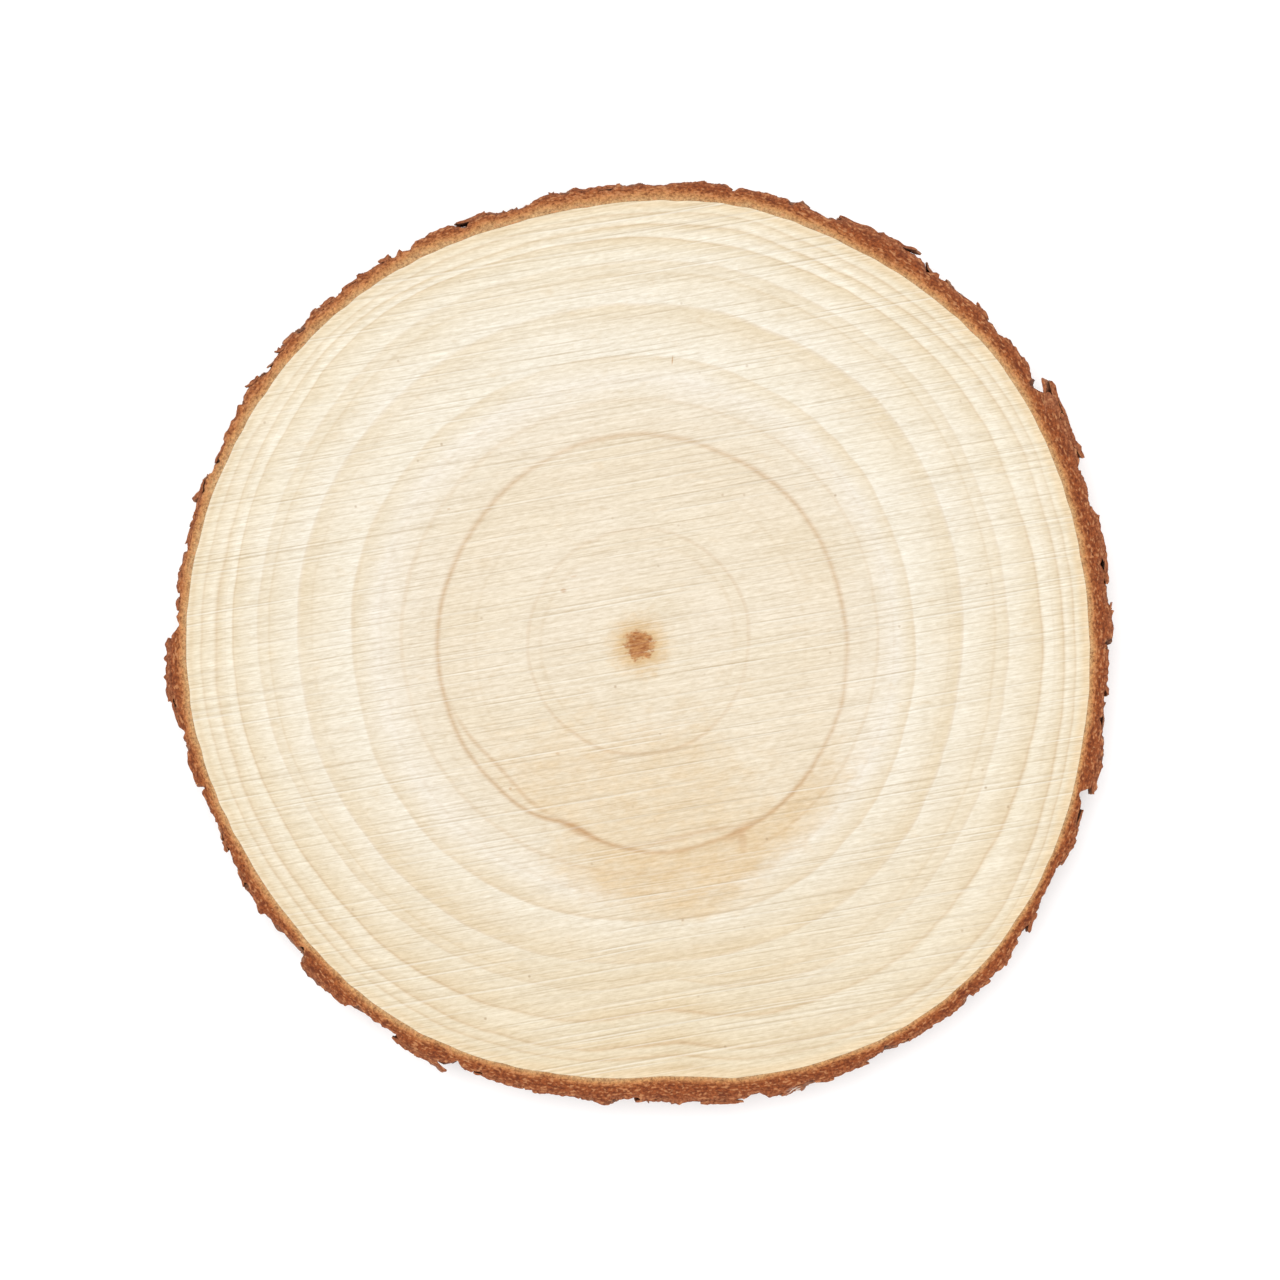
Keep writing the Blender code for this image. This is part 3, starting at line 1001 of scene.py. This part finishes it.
def bark_material(pith):
    """Bark, both its sawn face and its outside."""
    mat = Shader("bark", pith)
    out = mat.attribute("out_mm")
    on_cut = mat.attribute("on_cut")
    painted_gap_shade = mat.attribute("painted_gap_shade")
    tint = mat.attribute("tint")
    edge = mat.attribute("edge")

    grains = mat.grain((0.27, 0.27, 0.34), detail=3.0, roughness=0.75)
    patches = mat.grain((3, 3, 6), 0.0, 4.0, detail=3.0)
    layers = mat.noise(mat.round_the_rim(0.9, 0.30, out), detail=3.0, roughness=0.6)

    # Sawn face: golden inner bark, red-brown outer bark, grainy, with dark layers
    layer = mat.attribute("layer")
    depth = mat.add(layer, mat.range(patches, 0.25, 0.75, -0.28, 0.28))
    depth = mat.math("MAXIMUM", depth, mat.product(layer, 0.5))
    share = mat.math("DIVIDE", depth, CUT_SPAN)
    cut_tone = mat.ramp(share, tone_stops(CUT_TONES, CUT_SPAN))
    grainy = mat.range(grains, 0.3, 0.7)
    cut_tone = mat.gain(cut_tone, grainy, (0.50, 0.42, 0.37), (1.54, 1.62, 1.68))
    outer = mat.range(depth, 0.5, 1.3)
    dark_layer = mat.product(mat.range(layers, 0.46, 0.34, 0.0, 0.75), outer)
    cut_tone = mat.mix(dark_layer, cut_tone, colour(104, 48, 26))
    flecks = mat.noise(mat.round_the_rim(0.5, 0.22, out), 1.0, 0.5)
    pale_fleck = mat.range(flecks, 0.57, 0.67, 0.0, 0.66)
    cut_tone = mat.mix(pale_fleck, cut_tone, colour(218, 152, 102))
    pit = mat.product(mat.range(flecks, 0.42, 0.33, 0.0, 0.70), mat.range(depth, 0.1, 0.8))
    cut_tone = mat.mix(pit, cut_tone, colour(106, 46, 22))

    # Outside: scales of bark with fibres up the trunk, thin pale edges, and painted shade in the
    # gaps between scales and behind flakes
    fibres = mat.grain((0.35, 0.35, 4), 0.0, 2.0, 4.0, 0.65)
    clouds = mat.grain((1.6, 1.6, 2.4), 0.0, 6.0, 3.0, 0.6)
    shade = mat.product(tint, 0.32)
    shade = mat.add(shade, mat.range(clouds, 0.25, 0.75, 0.1, 0.9))
    wall_tone = mat.ramp(shade, tone_stops(WALL_TONES, 1.0))
    fibrous = mat.range(fibres, 0.3, 0.7)
    wall_tone = mat.gain(wall_tone, fibrous, (0.62, 0.58, 0.55), (1.35, 1.4, 1.45))
    wall_tone = mat.gain(wall_tone, grainy, (0.8, 0.78, 0.76), (1.2, 1.22, 1.24))
    # Painted shade: gaps between scales and the backs of loose flakes are darkened
    wall_tone = mat.mix(mat.product(painted_gap_shade, 0.9), wall_tone, colour(70, 36, 25))

    tone = mat.mix(on_cut, wall_tone, cut_tone)
    worn = mat.product(edge, mat.range(grains, 0.35, 0.6), 0.6)
    tone = mat.mix(worn, tone, colour(206, 150, 114))

    # A drop of dried resin at one place on the rim
    above = mat.node("SeparateXYZ", {0: mat.place}).outputs["Z"]
    near_top = mat.range(above, 8.6, 9.4)
    resin = mat.product(mat.spot(*RESIN), mat.range(flecks, 0.42, 0.56), near_top)
    tone = mat.mix(resin, tone, colour(232, 218, 204))

    roughness = mat.range(grains, 0.3, 0.7, 0.78, 0.95)
    relief = mat.add(grains, fibres)
    return mat.finish(tone, roughness, 0.2, relief, strength=0.7, depth=0.1)


# ------ studio

WORLD_STRENGTH = 1.17
# Softboxes: name, place in metres, watts
SOFTBOXES = (("key", (-0.32, 0.45, 2.1), 16.3), ("fill", (1.2, -1.0, 1.0), 2.1))
SOFTBOX_SIZE = 1.2
LIT_PLACE = (0.0, 0.0, 0.005)  # where the softboxes point
FLOOR_REACH = 3.0  # from the origin to each edge of the floor


def make_floor():
    """A plain pale floor at z = 0."""
    reach = FLOOR_REACH
    corners = [(-reach, -reach, 0), (reach, -reach, 0), (reach, reach, 0), (-reach, reach, 0)]
    mesh = bpy.data.meshes.new("floor")
    mesh.from_pydata(corners, [], [(0, 1, 2, 3)])
    floor = add_object("floor", mesh)
    mat = Shader("pale_floor")
    mesh.materials.append(mat.finish((0.96, 0.96, 0.96, 1.0), roughness=0.9, specular=0.0))


def make_softbox(name, place, watts):
    """A round soft light that points at the slice."""
    light = bpy.data.lights.new(name, "AREA")
    light.shape = "DISK"
    light.size = SOFTBOX_SIZE
    light.energy = watts
    lamp = add_object(name, light)
    lamp.location = place
    lamp.rotation_mode = "QUATERNION"
    lamp.rotation_quaternion = (Vector(LIT_PLACE) - Vector(place)).to_track_quat("-Z", "Y")


def make_studio():
    """White surroundings, two softboxes and the floor."""
    world = bpy.data.worlds.new("studio")
    world.use_nodes = True
    background = world.node_tree.nodes["Background"]
    background.inputs["Color"].default_value = (1.0, 1.0, 1.0, 1.0)
    background.inputs["Strength"].default_value = WORLD_STRENGTH
    bpy.context.scene.world = world
    for softbox in SOFTBOXES:
        make_softbox(*softbox)
    bpy.context.scene.view_settings.view_transform = "Standard"
    make_floor()


def make_camera(low, high):
    """Straight down, with the slice's width filling the share of the view that it should."""
    width_share = 0.7406
    raised = 0.002  # share of the view that the slice's middle lies below the view's
    lens = bpy.data.cameras.new("camera")
    lens.lens = 85.0
    lens.sensor_width = 36.0
    camera = add_object("camera", lens)
    view_width = (high.x - low.x) / width_share
    distance = view_width * lens.lens / lens.sensor_width
    middle = (low + high) / 2
    camera.location = (middle.x, middle.y + raised * view_width, high.z + distance)
    lens.clip_start = 0.01
    bpy.context.scene.camera = camera


# ------ the scene


def add_piece(piece, material):
    """Give a piece its material and its place in the part."""
    piece.data.materials.append(material)
    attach(piece, "root")
    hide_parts(NODE)


def main():
    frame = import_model()
    low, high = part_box(NODE)
    make_camera(low, high)
    make_studio()

    rim = CadRim(frame["nodes"][NODE])
    low_mm, high_mm = low.z / MM, high.z / MM
    bark_finish = bark_material(rim.pith)
    add_piece(build_wood(rim, low_mm, high_mm), wood_material(rim.pith))
    add_piece(build_bark(rim, low_mm, high_mm), bark_finish)
    add_piece(build_flakes(rim, low_mm, high_mm), bark_finish)


main()
